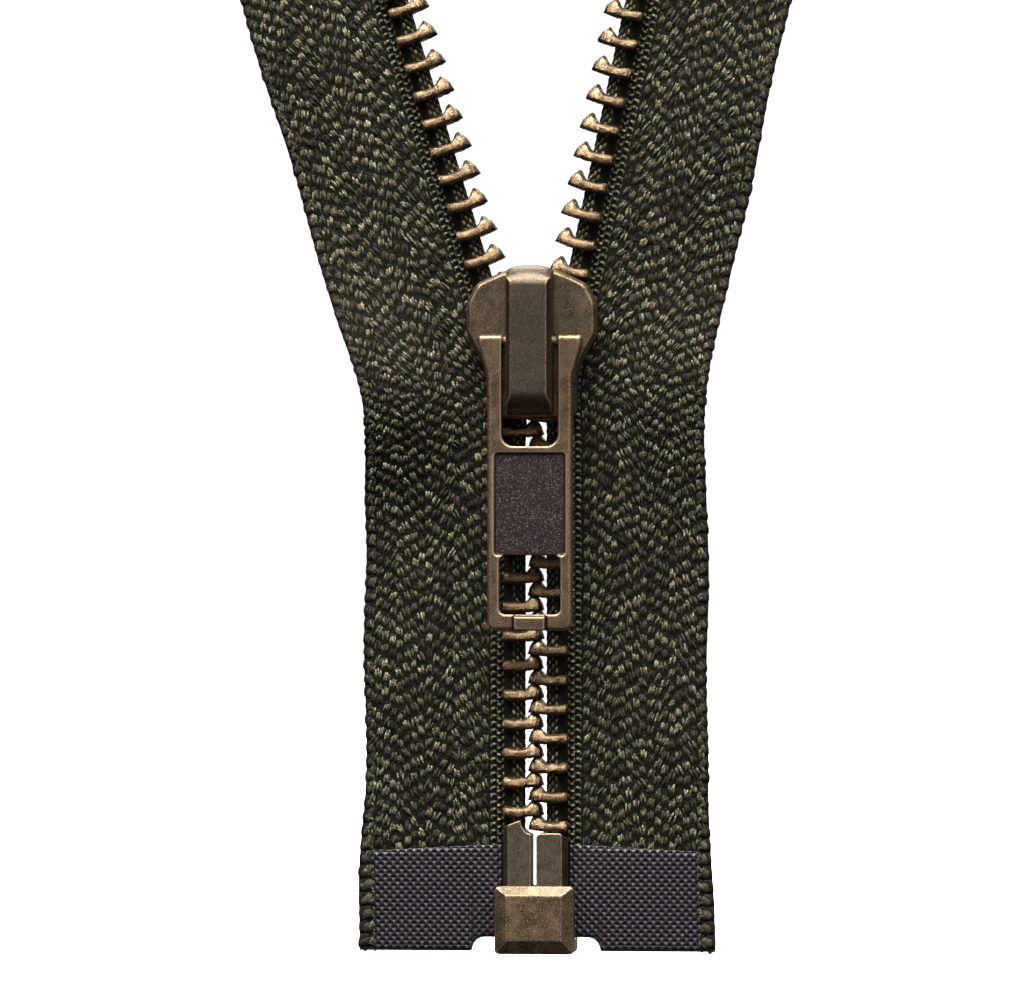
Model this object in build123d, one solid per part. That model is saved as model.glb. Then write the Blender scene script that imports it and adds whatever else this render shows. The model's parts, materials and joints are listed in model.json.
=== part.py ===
from build123d import *
from math import cos, radians, sin, tan
import os

# A separating metal zipper, closed up to a slider that stands part way up its chain.
# Millimetres. X runs across the tapes, Y from the front (pull side, -Y) to the back,
# Z up the chain. The origin is the centre of the retaining box's bottom face.
# side is -1 for the left tape and +1 for the right one, seen from the front.
SIDES = {"left": -1, "right": 1}

# ---------------------------------------------------------------- chain
PITCH = 2.54                # from tooth to tooth along one tape: ten teeth to the inch
BAR_HEIGHT = 0.95           # height of a tooth's legs along the chain
TOOTH_DEPTH = 2.9           # front to back
LEG_END = 2.82              # from the chain's centre to the end of the legs
HEAD_START = 0.83           # from the chain's centre to where the head's underside rises
TIP_REACH = 0.63            # how far a head reaches past the chain's centre
TIP_RISE = 0.18             # how far the head's underside rises towards its tip
BROW = (0.57, 0.12)         # reach and height of the head's rounded brow
CREST_REACH = 0.4           # reach of the bar's flat top
NIB_TOP = 1.15              # top of the nib, above the middle of the bar
NIB_FOOT, NIB_CREST = (0.56, 1.1), (0.26, 0.42)         # half width and half depth
SOCKET_MOUTH, SOCKET_BOTTOM = (0.5, 0.84), (0.34, 0.55)  # half width and half depth
SOCKET_DEPTH = 0.42
CORNER = 0.45               # rounding of a tooth seen from above

# ---------------------------------------------------------------- tape
TAPE_EDGE = 15.0            # from the chain's centre to the selvedge
MARGIN_EDGE = 6.1           # the seam margin starts here, outside the slider's path
THIN = 0.50                 # thickness of the web beside the chain
THICK = 0.60                # thickness of the seam margin
BEAD_X = 1.75               # from the chain's centre to the middle of the bead
BEAD_R = 0.85               # woven bead around the cord
CORD_R = 0.55
TAPE_BOTTOM = 0.2
NOTCH_WIDTH = 5.6           # rounded cut-out beside the box, from the chain's centre
NOTCH_TOP = 1.4
NOTCH_R = 1.1

# ---------------------------------------------------------------- opening of the tapes
ARM_TEETH = 10              # teeth on the stretch that closes as the slider rises
SEGMENT = ARM_TEETH * PITCH
TIP_TEETH = 4               # teeth above that stretch
TAPE_LENGTH = 43.0          # from a pivot to the top end of its tape
SEAM_GAP = 0.1              # between the stretches of one tape
SPARE = 5.0                 # drawn past each bend, then cut off along its middle plane
STOP_START = 10.0           # the top stop's lower end, above the upper pivot
STOP_LENGTH = 2.2
# first is the lowest tooth's height, lower the number of teeth below the pivot,
# pivot the height where that tape leaves the closed chain, lean its angle from upright
LAYOUT = {
    "left": {"first": 12.32, "lower": 15, "pivot": 49.15, "lean": 17.0},
    "right": {"first": 11.05, "lower": 16, "pivot": 50.42, "lean": 12.0},
}

# ---------------------------------------------------------------- bottom end
BOX_WIDTH, BOX_HEIGHT, BOX_DEPTH = 6.93, 5.9, 5.0
BOX_BEVEL = 0.55            # how far the bevels cut back the front and back
BOX_SIDE_BEVEL, BOX_TOP_BEVEL, BOX_BOTTOM_BEVEL = 1.06, 0.8, 1.2
BOX_WALL = 0.5
BOX_FLOOR = 0.95
BOX_SLOT = 1.0              # slot in each side wall for the tape and its films
PIN_DEPTH = 2.9
PIN_OUTER = 2.80            # from the chain's centre to a pin's outer side
PIN_BOTTOM = 1.0
LEFT_PIN_INNER, RIGHT_PIN_INNER = 0.32, 0.12
PIN_TOP = 10.5
LEFT_PIN_PEAK = 11.6
FILM_INNER, FILM_OUTER = 3.0, 14.3
FILM_TOP = 9.2
FILM_THICKNESS = 0.12

# ---------------------------------------------------------------- slider
SLIDER_X = -0.2             # the slider sits a little towards the left tape
SLIDER_BOTTOM = 46.4
SLIDER_DEPTH = 5.1          # over both plates
CHANNEL_DEPTH = 3.3         # between the plates
TAPE_SLOT = 1.1             # between the front and back flanges
CLEARANCE = 0.22            # from the teeth to the channel's walls and the divider
DIVIDER_FOOT, DIVIDER_TOP = 54.1, 59.1
CROWN_WIDTH = 3.97
CROWN_FRONT = -5.6
CROWN_WALL = 0.45
CROWN_BEVEL = 0.42
CROWN_BOTTOM, CROWN_TOP = 46.75, 59.7
PRONG = (0.65, 1.15)        # the locking prong, from side to side
PRONG_BOTTOM, PRONG_TOP = 50.05, 50.75
PRONG_REACH = -1.0
PRONG_CLEARANCE = 0.15
PAWL_FRONT, PAWL_BACK = -4.35, -4.0
PAWL_HALF_WIDTH = 1.1
PAWL_TOP = 57.0
SPRING_THICKNESS = 0.15

# ---------------------------------------------------------------- pull tab
PULL_PIVOT = (-3.4, 53.15)  # Y and Z of the crossbar that the tab swings on
CROSSBAR_R = 0.5
TAB_THICKNESS = 1.2
TAB_TOP, TAB_BOTTOM = 53.7, 28.1
TAB_WIDTH, TAB_SHOULDER_WIDTH = 7.45, 9.1
SHOULDER_BOTTOM = 52.9
NECK_TOP = 50.2             # below it the tab is TAB_WIDTH wide
UPPER_WINDOW = (4.87, 44.05, 55.0)  # width, bottom, top; the crossbar closes it
LOWER_WINDOW = (5.28, 29.5, 34.6)
WINDOW_R = 1.0
PANEL = (6.1, 34.6, 43.45)
PANEL_DEPTH = 0.28
TONGUE = (2.7, 28.15, 29.5)
TONGUE_RISE = 0.2


def across(width, low, high, depth, x=0, y=0):
    """A block: width in X, from low to high in Z, depth in Y."""
    return Pos(x, y, (low + high) / 2) * Box(width, depth, high - low)


def turned_space(x, z, angle, shift):
    """All the space above a plane that leans by angle about Y through (x, z)."""
    block = Box(90, 20, 120, align=(Align.CENTER, Align.CENTER, Align.MIN))
    return Pos(x, 0, z) * Rot(0, angle, 0) * Pos(0, 0, shift) * block


def lean(shape, name):
    """Lays a stretch that was drawn upright along its leaning tape."""
    side, row = SIDES[name], LAYOUT[name]
    place = Pos(side * BEAD_X, 0, row["pivot"]) * Rot(0, side * row["lean"], 0)
    return place * Pos(-side * BEAD_X, 0, -row["pivot"]) * shape


# ---------------------------------------------------------------- teeth
def knob(z, foot, crest, height):
    """A tapered oval knob over the chain's centre, for a nib or the socket it fits."""
    return loft([Pos(0, 0, z) * Ellipse(*foot), Pos(0, 0, z + height) * Ellipse(*crest)])


def tooth(side):
    """One element: two legs that clamp the bead, a nib on top and a socket underneath."""
    half = BAR_HEIGHT / 2
    tip, crest = (-side * TIP_REACH, TIP_RISE - half), (-side * CREST_REACH, half)
    under = Polyline([(side * LEG_END, -half), (side * HEAD_START, -half), tip])
    nose = ThreePointArc(tip, (-side * BROW[0], BROW[1]), crest)
    top = Polyline([crest, (side * LEG_END, half), (side * LEG_END, -half)])
    outline = Plane.XZ * make_face((under + nose + top).edges())
    width = LEG_END + TIP_REACH
    plan = RectangleRounded(width, TOOTH_DEPTH, CORNER)
    column = Pos(side * (LEG_END - width / 2), 0, -2) * extrude(plan, 4)
    bar = extrude(outline, TOOTH_DEPTH / 2, both=True) & column
    bar += knob(half - 0.1, NIB_FOOT, NIB_CREST, NIB_TOP - half + 0.1)
    bar -= knob(-half - 0.05, SOCKET_MOUTH, SOCKET_BOTTOM, SOCKET_DEPTH + 0.05)
    bar -= Pos(side * BEAD_X, 0, 0) * Cylinder(BEAD_R, 3)
    return bar - across(2, -2, 2, THIN, x=side * (BEAD_X + 1))


def teeth(side, start, count):
    one = tooth(side)
    return Compound([Pos(0, 0, start + PITCH * k) * one for k in range(count)])


# ---------------------------------------------------------------- tapes
def tape_section(side, margin=True):
    """The tape seen from above: the bead, the thin web and the thicker seam margin."""
    section = Pos(side * BEAD_X, 0) * Circle(BEAD_R)
    web = TAPE_EDGE - BEAD_X
    section += Pos(side * (BEAD_X + web / 2), 0) * Rectangle(web, THIN)
    if margin:
        wide = TAPE_EDGE - MARGIN_EDGE
        section += Pos(side * (TAPE_EDGE - wide / 2), 0) * Rectangle(wide, THICK)
    return section - Pos(side * BEAD_X, 0) * Circle(CORD_R)


def notch(side):
    """The rounded cut-out that frees the box from the tape's bottom edge."""
    size = 2 * NOTCH_TOP
    cut = extrude(Plane.XZ * RectangleRounded(2 * NOTCH_WIDTH, size, NOTCH_R), 5, both=True)
    return cut & across(2 * NOTCH_WIDTH, -size, size, 10, x=side * NOTCH_WIDTH)


def lower_tape(name):
    side, row = SIDES[name], LAYOUT[name]
    joint = FILM_TOP + SEAM_GAP
    pressed = Pos(0, 0, TAPE_BOTTOM) * extrude(
        tape_section(side, margin=False), joint - TAPE_BOTTOM
    )
    free = Pos(0, 0, joint) * extrude(tape_section(side), row["pivot"] + SPARE - joint)
    above = turned_space(side * BEAD_X, row["pivot"], side * row["lean"] / 2, -SEAM_GAP / 2)
    bead_end = across(2 * (BEAD_X + BEAD_R), 0, NOTCH_TOP, 3)
    return pressed + free - notch(side) - bead_end - above


def lower_cord(name):
    side, row = SIDES[name], LAYOUT[name]
    height = row["pivot"] + SPARE - NOTCH_TOP
    cord = Pos(side * BEAD_X, 0, NOTCH_TOP + height / 2) * Cylinder(CORD_R, height)
    return cord - turned_space(
        side * BEAD_X, row["pivot"], side * row["lean"] / 2, -SEAM_GAP / 2
    )


def upper_stretch(name, section, start, end):
    """A stretch of tape or cord between two distances above the tape's pivot."""
    side, row = SIDES[name], LAYOUT[name]
    piece = Pos(0, 0, row["pivot"] + start) * extrude(section, end - start)
    if start < 0:
        piece &= turned_space(
            side * BEAD_X, row["pivot"], -side * row["lean"] / 2, SEAM_GAP / 2
        )
    return lean(piece, name)


def top_stop(name):
    """A clip of folded strip around the bead, above the last tooth."""
    side, row = SIDES[name], LAYOUT[name]
    plan = Pos(side * (BEAD_X + 0.1), 0) * RectangleRounded(2.2, 3.0, 0.6)
    plan -= Pos(side * BEAD_X, 0) * Circle(BEAD_R)
    plan -= Pos(side * (BEAD_X + 1.5), 0) * Rectangle(3, THIN)
    clip = extrude(plan, STOP_LENGTH)
    return lean(Pos(0, 0, row["pivot"] + SEGMENT + STOP_START) * clip, name)


def film(side, front):
    """One sheet of the reinforcing film that stiffens the end of a tape."""
    width = FILM_OUTER - FILM_INNER
    y = front * (THIN + FILM_THICKNESS) / 2
    sheet = across(width, TAPE_BOTTOM, FILM_TOP, FILM_THICKNESS, side * (FILM_INNER + width / 2), y)
    return sheet - notch(side)


# ---------------------------------------------------------------- bottom end
def retaining_box():
    """A bevelled socket, open at the top, with a slot in each side for the tapes."""
    side, depth = BOX_WIDTH / 2, BOX_DEPTH / 2
    back = depth - BOX_BEVEL
    plan = [
        (-side, -back), (BOX_SIDE_BEVEL - side, -depth), (side - BOX_SIDE_BEVEL, -depth),
        (side, -back), (side, back), (side - BOX_SIDE_BEVEL, depth),
        (BOX_SIDE_BEVEL - side, depth), (-side, back),
    ]
    profile = [
        (-back, 0), (-depth, BOX_BOTTOM_BEVEL), (-depth, BOX_HEIGHT - BOX_TOP_BEVEL),
        (-back, BOX_HEIGHT), (back, BOX_HEIGHT), (depth, BOX_HEIGHT - BOX_TOP_BEVEL),
        (depth, BOX_BOTTOM_BEVEL), (back, 0),
    ]
    body = extrude(make_face(Polyline(plan, close=True).edges()), BOX_HEIGHT)
    body &= extrude(Plane.YZ * make_face(Polyline(profile, close=True).edges()), 5, both=True)
    front = Plane.XZ * Pos(0, BOX_HEIGHT / 2) * RectangleRounded(BOX_WIDTH, BOX_HEIGHT, 0.45)
    body &= extrude(front, 5, both=True)
    body -= across(BOX_WIDTH - 2 * BOX_WALL, BOX_FLOOR, BOX_HEIGHT + 1, PIN_DEPTH + 0.2)
    return body - across(BOX_WIDTH + 1, NOTCH_TOP - 0.1, BOX_HEIGHT + 1, BOX_SLOT)


def clamped_pin(side, outline):
    """A pin folded around the end of a bead, with a bevelled outer side."""
    body = extrude(Plane.XZ * make_face(outline.edges()), PIN_DEPTH / 2, both=True)
    outer = [
        (side * 0.05, -PIN_DEPTH / 2), (side * (PIN_OUTER - 0.45), -PIN_DEPTH / 2),
        (side * PIN_OUTER, -0.75), (side * PIN_OUTER, 0.75),
        (side * (PIN_OUTER - 0.45), PIN_DEPTH / 2), (side * 0.05, PIN_DEPTH / 2),
    ]
    body &= extrude(make_face(Polyline(outer, close=True).edges()), 14)
    body -= Pos(side * BEAD_X, 0, 7) * Cylinder(BEAD_R, 14)
    return body - across(3, 0, 14, THIN, x=side * (BEAD_X + 1.5))


def retaining_pin():
    inner = -LEFT_PIN_INNER
    rise = Polyline(
        [(inner, PIN_BOTTOM), (-PIN_OUTER, PIN_BOTTOM), (-PIN_OUTER, 11.05), (-1.25, LEFT_PIN_PEAK)]
    )
    step = ThreePointArc((-1.25, LEFT_PIN_PEAK), (-1.0, 10.85), (-0.7, PIN_TOP))
    close = Polyline([(-0.7, PIN_TOP), (inner, PIN_TOP - 0.1), (inner, PIN_BOTTOM)])
    return clamped_pin(-1, rise + step + close)


def insertion_pin():
    inner, crest = RIGHT_PIN_INNER, PIN_TOP - 0.02
    outline = Polyline(
        [(inner, PIN_BOTTOM), (PIN_OUTER, PIN_BOTTOM), (PIN_OUTER, crest - 0.45),
         (PIN_OUTER - 0.6, crest), (inner + 0.3, crest), (inner, crest - 0.25)],
        close=True,
    )
    return clamped_pin(1, outline)


# ---------------------------------------------------------------- slider
def row_line(name, offset):
    """X and Z where a row's line, offset inwards from its bead, leaves the upright chain,
    and the slope of that line above it."""
    side, row = SIDES[name], LAYOUT[name]
    angle = radians(row["lean"])
    x = side * (BEAD_X - offset * cos(angle))
    z = row["pivot"] + offset * sin(angle)
    return x, z, side * tan(angle)


def at_height(line, height):
    x, z, slope = line
    return x + (height - z) * slope


def channel():
    """The Y-shaped way for the teeth, between the flanges."""
    outer = -(LEG_END - BEAD_X + CLEARANCE)
    left, right = row_line("left", outer), row_line("right", outer)
    straight = LEG_END + CLEARANCE
    left_bend = left[1] + (-straight - left[0]) / left[2]
    right_bend = right[1] + (straight - right[0]) / right[2]
    points = [
        (-straight, SLIDER_BOTTOM - 1), (-straight, left_bend), (at_height(left, 64), 64),
        (at_height(right, 64), 64), (straight, right_bend), (straight, SLIDER_BOTTOM - 1),
    ]
    return extrude(
        Plane.XZ * make_face(Polyline(points, close=True).edges()), CHANNEL_DEPTH / 2, both=True
    )


def divider():
    """The wedge between the plates that parts the two rows of teeth."""
    inner = BEAD_X + TIP_REACH + CLEARANCE
    left, right = row_line("left", inner), row_line("right", inner)
    points = [
        (at_height(left, DIVIDER_FOOT), DIVIDER_FOOT), (at_height(right, DIVIDER_FOOT), DIVIDER_FOOT),
        (at_height(right, DIVIDER_TOP), DIVIDER_TOP), (at_height(left, DIVIDER_TOP), DIVIDER_TOP),
    ]
    wedge = Plane.XZ * make_face(Polyline(points, close=True).edges())
    return extrude(wedge, CHANNEL_DEPTH / 2 + 0.1, both=True)


def plate_outline():
    half = [
        (0, 59.3), (1.9, 58.95), (4.75, 57.65), (5.66, 56.0), (5.66, 53.8),
        (4.15, 51.0), (3.9, 49.4), (3.9, SLIDER_BOTTOM), (0, SLIDER_BOTTOM),
    ]
    mirrored = [(-x, z) for x, z in reversed(half[1:-1])]
    face = make_face(Polyline(half + mirrored, close=True).edges())
    radii = {57.65: 1.2, 56.0: 1.6, 53.8: 1.2, 51.0: 2.0, 49.4: 2.0, SLIDER_BOTTOM: 0.9}
    for height, radius in radii.items():
        corners = [v for v in face.vertices() if abs(v.Y - height) < 0.01 and abs(v.X) > 0.1]
        face = fillet(corners, radius)
    return Pos(SLIDER_X, 0, 0) * Plane.XZ * face


def slider_body():
    """Two plates with flanges turned in towards the tape, joined by the divider."""
    body = extrude(plate_outline(), SLIDER_DEPTH / 2, both=True)
    rims = body.edges().filter_by(lambda e: abs(abs(e.center().Y) - SLIDER_DEPTH / 2) < 0.01)
    body = chamfer(rims, 0.3)
    body -= channel()
    body -= across(20, SLIDER_BOTTOM - 1, 64, TAPE_SLOT)
    body += divider() & across(20, SLIDER_BOTTOM, DIVIDER_TOP, SLIDER_DEPTH)
    hole = across(
        PRONG[1] - PRONG[0] + 2 * PRONG_CLEARANCE, PRONG_BOTTOM - PRONG_CLEARANCE,
        PRONG_TOP + PRONG_CLEARANCE, 2, x=sum(PRONG) / 2, y=-SLIDER_DEPTH / 2,
    )
    return body - hole


def crown_profile(inset):
    """The crown from the side, in Y and Z: two rounded shoulders and a flat top."""
    front, foot = CROWN_FRONT + inset, -SLIDER_DEPTH / 2
    low, high = CROWN_BOTTOM + inset, CROWN_TOP - inset
    shoulder = Line((foot, high), (foot - 0.7, high))
    upper = ThreePointArc((foot - 0.7, high), (front + 0.42, high - 0.75), (front, high - 2.4))
    flat = Line((front, high - 2.4), (front, low + 2.0))
    lower = ThreePointArc((front, low + 2.0), (front + 0.65, low + 0.6), (foot - 0.5, low))
    base = Polyline([(foot - 0.5, low), (foot, low), (foot, high)])
    return make_face((shoulder + upper + flat + lower + base).edges())


def slider_crown():
    """The hollow cap over the crossbar, the locking pawl and its spring."""
    half, shoulder = CROWN_WIDTH / 2, CROWN_FRONT + CROWN_BEVEL
    plan = Polyline(
        [(-half, -2), (-half, shoulder), (CROWN_BEVEL - half, CROWN_FRONT),
         (half - CROWN_BEVEL, CROWN_FRONT), (half, shoulder), (half, -2)],
        close=True,
    )
    outer = extrude(Plane.YZ * crown_profile(0), half, both=True)
    outer &= extrude(make_face(plan.edges()), CROWN_TOP + 1)
    inner = extrude(Plane.YZ * crown_profile(CROWN_WALL + 0.1), half - CROWN_WALL, both=True)
    y, z = PULL_PIVOT
    way = across(6, z - 0.75, z + 0.75, 2.2, y=y + 0.45)
    return Pos(SLIDER_X, 0, 0) * (outer - inner - way)


def lock_pawl():
    """A strip over the crossbar whose prong drops between two teeth."""
    strip = across(
        2 * PAWL_HALF_WIDTH, PRONG_BOTTOM, PAWL_TOP, PAWL_BACK - PAWL_FRONT,
        x=0.05, y=(PAWL_FRONT + PAWL_BACK) / 2,
    )
    prong = across(
        PRONG[1] - PRONG[0], PRONG_BOTTOM, PRONG_TOP, PRONG_REACH - PAWL_FRONT,
        x=sum(PRONG) / 2, y=(PAWL_FRONT + PRONG_REACH) / 2,
    )
    return strip + prong


def lock_spring():
    """A leaf that presses the pawl towards the chain."""
    y = PAWL_FRONT - SPRING_THICKNESS / 2
    return across(1.6, PRONG_TOP, PAWL_TOP + 1.0, SPRING_THICKNESS, x=SLIDER_X, y=y)


# ---------------------------------------------------------------- pull tab
def tab_outline():
    half, shoulder = TAB_WIDTH / 2, TAB_SHOULDER_WIDTH / 2
    right = [
        (0, TAB_TOP), (shoulder, TAB_TOP), (shoulder, SHOULDER_BOTTOM), (half, NECK_TOP),
        (half, TAB_BOTTOM), (0, TAB_BOTTOM),
    ]
    left = [(-x, z) for x, z in reversed(right[1:-1])]
    face = make_face(Polyline(right + left, close=True).edges())
    for height, radius in {TAB_TOP: 0.3, SHOULDER_BOTTOM: 0.5, NECK_TOP: 3.0, TAB_BOTTOM: 0.8}.items():
        corners = [v for v in face.vertices() if abs(v.Y - height) < 0.01 and abs(v.X) > 0.1]
        face = fillet(corners, radius)
    return face


def window(size, radius=WINDOW_R):
    width, low, high = size
    return Pos(0, (low + high) / 2) * RectangleRounded(width, high - low, radius)


def pull_tab():
    """A flat tab with two windows, a sunk panel between them and a round crossbar."""
    y, z = PULL_PIVOT
    front = Plane.XZ.offset(-y)
    tab = extrude(front * (tab_outline() - window(UPPER_WINDOW) - window(LOWER_WINDOW, 0.5)),
                  TAB_THICKNESS / 2, both=True)
    shoulders = [e for e in tab.edges() if abs(e.center().Z - TAB_TOP) < 0.01]
    tab = fillet([e for e in shoulders if abs(e.tangent_at(0.5).X) > 0.9], 0.4)
    sunk = extrude(Plane.XZ * window(PANEL, 0.3), 5, both=True)
    sunk -= Box(20, TAB_THICKNESS - 2 * PANEL_DEPTH, 200)
    tab -= Pos(0, y, 0) * sunk
    tab += Pos(0, y, z) * Rot(0, 90, 0) * Cylinder(CROSSBAR_R, UPPER_WINDOW[0] + 0.4)
    tongue = across(TONGUE[0], TONGUE[1], TONGUE[2], TONGUE_RISE + 0.3,
                    y=y - TAB_THICKNESS / 2 + (0.3 - TONGUE_RISE) / 2)
    return Pos(SLIDER_X, 0, 0) * (tab + tongue)


# ---------------------------------------------------------------- assembly
def build():
    nodes = {
        "retaining_box": retaining_box(), "retaining_pin": retaining_pin(),
        "insertion_pin": insertion_pin(), "slider_body": slider_body(),
        "slider_crown": slider_crown(), "lock_pawl": lock_pawl(),
        "lock_spring": lock_spring(), "pull_tab": pull_tab(),
    }
    for name, side in SIDES.items():
        row = LAYOUT[name]
        section = tape_section(side)
        cord = Pos(side * BEAD_X, 0) * Circle(CORD_R)
        above = row["first"] + PITCH * row["lower"]
        nodes[f"{name}_film_front"] = film(side, -1)
        nodes[f"{name}_film_back"] = film(side, 1)
        nodes[f"{name}_tape_lower"] = lower_tape(name)
        nodes[f"{name}_cord_lower"] = lower_cord(name)
        nodes[f"{name}_teeth_lower"] = teeth(side, row["first"], row["lower"])
        nodes[f"{name}_tape_arm"] = upper_stretch(name, section, -SPARE, SEGMENT - SEAM_GAP / 2)
        nodes[f"{name}_cord_arm"] = upper_stretch(name, cord, -SPARE, SEGMENT - SEAM_GAP / 2)
        nodes[f"{name}_teeth_arm"] = lean(teeth(side, above, ARM_TEETH), name)
        nodes[f"{name}_tape_tip"] = upper_stretch(name, section, SEGMENT + SEAM_GAP / 2, TAPE_LENGTH)
        nodes[f"{name}_cord_tip"] = upper_stretch(name, cord, SEGMENT + SEAM_GAP / 2, TAPE_LENGTH)
        nodes[f"{name}_teeth_tip"] = lean(teeth(side, above + SEGMENT, TIP_TEETH), name)
        nodes[f"{name}_top_stop"] = top_stop(name)
    return nodes


def main():
    os.makedirs("parts", exist_ok=True)
    for name, shape in build().items():
        export_step(shape, f"parts/{name}.step")


main()
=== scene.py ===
import json
import math

import bmesh
import bpy
import numpy as np
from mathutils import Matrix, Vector


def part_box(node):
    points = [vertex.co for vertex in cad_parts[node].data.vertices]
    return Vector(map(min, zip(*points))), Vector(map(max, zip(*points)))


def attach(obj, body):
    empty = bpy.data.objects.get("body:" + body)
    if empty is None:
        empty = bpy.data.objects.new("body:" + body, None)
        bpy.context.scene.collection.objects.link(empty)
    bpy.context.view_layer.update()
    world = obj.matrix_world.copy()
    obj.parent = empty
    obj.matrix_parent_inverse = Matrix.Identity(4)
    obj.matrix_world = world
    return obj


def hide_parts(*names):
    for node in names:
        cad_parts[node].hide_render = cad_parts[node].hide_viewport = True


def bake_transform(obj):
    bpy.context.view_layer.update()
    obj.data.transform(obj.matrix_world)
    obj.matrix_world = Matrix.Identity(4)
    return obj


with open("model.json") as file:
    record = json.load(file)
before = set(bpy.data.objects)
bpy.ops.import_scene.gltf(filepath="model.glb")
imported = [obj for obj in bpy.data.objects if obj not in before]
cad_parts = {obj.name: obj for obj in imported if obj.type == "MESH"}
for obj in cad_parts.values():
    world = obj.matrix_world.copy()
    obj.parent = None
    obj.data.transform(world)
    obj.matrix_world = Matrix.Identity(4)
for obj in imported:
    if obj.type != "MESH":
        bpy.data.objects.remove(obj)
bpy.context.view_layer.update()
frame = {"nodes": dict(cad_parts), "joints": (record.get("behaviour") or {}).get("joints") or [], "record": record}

# The zipper's looks. Lengths in this file are millimetres; MM turns them into metres.
# A point on a tape is (s, y, t): s outwards from the middle of the bead, y front to
# back, t up the tape from the level of the box's bottom face.
MM = 0.001
JOINTS = {j["name"]: j for j in frame["joints"]}
RNG = np.random.default_rng(5)
SIDES = {"left": -1, "right": 1}

# ---------------------------------------------------------------- tape and chain
PITCH = 2.54
BEAD_R = 0.78
BEAD_X = abs(JOINTS["left_arm_close"]["pos_m"][0]) / MM
PIVOT = {n: JOINTS[f"{n}_arm_close"]["pos_m"][2] / MM for n in SIDES}
LEAN = {n: math.radians(JOINTS[f"{n}_arm_close"]["range_deg"][1]) for n in SIDES}
TAPE_END = 43.0             # from a pivot to the top of its tape
TAPE_TOP = {n: PIVOT[n] + TAPE_END for n in SIDES}
SPLIT = 12.7                # from a pivot to where its tape changes pieces
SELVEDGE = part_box("right_tape_lower")[1].x / MM - BEAD_X
CORE = 0.17                 # half thickness of the cloth under its floats
FILM_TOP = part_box("right_film_front")[1].z / MM
NOTCH_EDGE = 5.6 - BEAD_X   # the cut-out beside the box
NOTCH_TOP = 1.4
NOTCH_R = 1.1
TAPE_BOTTOM = 0.2
# How far each tape bulges forward beside the slider, at what height and over what height.
BULGE = {"left": (2.6, 48.5, 8.0), "right": (1.3, 50.0, 7.0)}
BULGE_START, BULGE_FULL = 3.8, 10.0   # s over which the bulge grows
FOOT_FLARE = 0.62           # how far the outer edge stands out at the tape's foot
ARM_TEETH = 10              # teeth on each arm
TIP_TEETH = 4               # teeth on each tip


def smooth(low, high, value):
    """0 at low, 1 at high, with soft ends; low may be the larger."""
    f = np.clip((np.asarray(value, float) - low) / (high - low), 0, 1)
    return f * f * (3 - 2 * f)


def place(name, s, y, t):
    """World position in millimetres of a tape point: the tape bends softly at its pivot."""
    side = SIDES[name]
    rise = t - PIVOT[name]
    soft = 5.0 + 0.45 * np.maximum(s, 0)
    turn = LEAN[name] * smooth(-1, 1, rise / soft)
    x = BEAD_X + s * np.cos(turn) + rise * np.sin(turn)
    z = PIVOT[name] - s * np.sin(turn) + rise * np.cos(turn)
    size, height, spread = BULGE[name]
    out = smooth(BULGE_START, BULGE_FULL, s)
    y = y - size * out * np.exp(-(((z - height) / spread) ** 2))
    # the cloth is never quite flat, nor its outer edge quite straight
    y = y + out * 0.18 * np.sin(z * 0.23 + side) * smooth(10, 18, z)
    x = x + 0.10 * smooth(9, 13, s) * np.sin(z * 0.37 + 2 * side)
    x = x + FOOT_FLARE * smooth(12.5, 13.0, s) * smooth(15, 4, z)
    return np.stack([side * x, y, z], -1)


# ---------------------------------------------------------------- meshes
def put_attribute(mesh, key, values):
    """A number or a vector for each vertex, for a material to read."""
    values = np.asarray(values, np.float32)
    kind, field = ("FLOAT", "value") if values.ndim == 1 else ("FLOAT_VECTOR", "vector")
    mesh.attributes.new(key, kind, "POINT").data.foreach_set(field, values.ravel())


def make(name, points, faces, material, **attributes):
    """A smooth-shaded mesh object from points in millimetres."""
    mesh = bpy.data.meshes.new(name)
    mesh.from_pydata((np.asarray(points, float).reshape(-1, 3) * MM).tolist(), [], faces)
    for key, values in attributes.items():
        put_attribute(mesh, key, values)
    mesh.polygons.foreach_set("use_smooth", [True] * len(mesh.polygons))
    mesh.validate()
    obj = bpy.data.objects.new(name, mesh)
    bpy.context.scene.collection.objects.link(obj)
    obj.data.materials.append(material)
    return obj


def grid(rows, columns, wrap=False, start=0):
    """Quads of a grid of points, row by row; wrap closes each row into a ring."""
    r = np.arange(rows - 1)[:, None] * columns
    c = np.arange(columns if wrap else columns - 1)[None, :]
    d = (c + 1) % columns
    quads = np.stack([r + c, r + d, r + columns + d, r + columns + c], -1)
    return (quads.reshape(-1, 4) + start).tolist()


def repeated(quads, size, count):
    """The same faces for count copies of a point set."""
    quads = np.asarray(quads)
    return (quads[None] + size * np.arange(count)[:, None, None]).reshape(-1, quads.shape[1])


def turned_over(faces, flip):
    """The faces, with their other side outwards where flip is true."""
    return [f[::-1] for f in faces] if flip else faces


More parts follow.
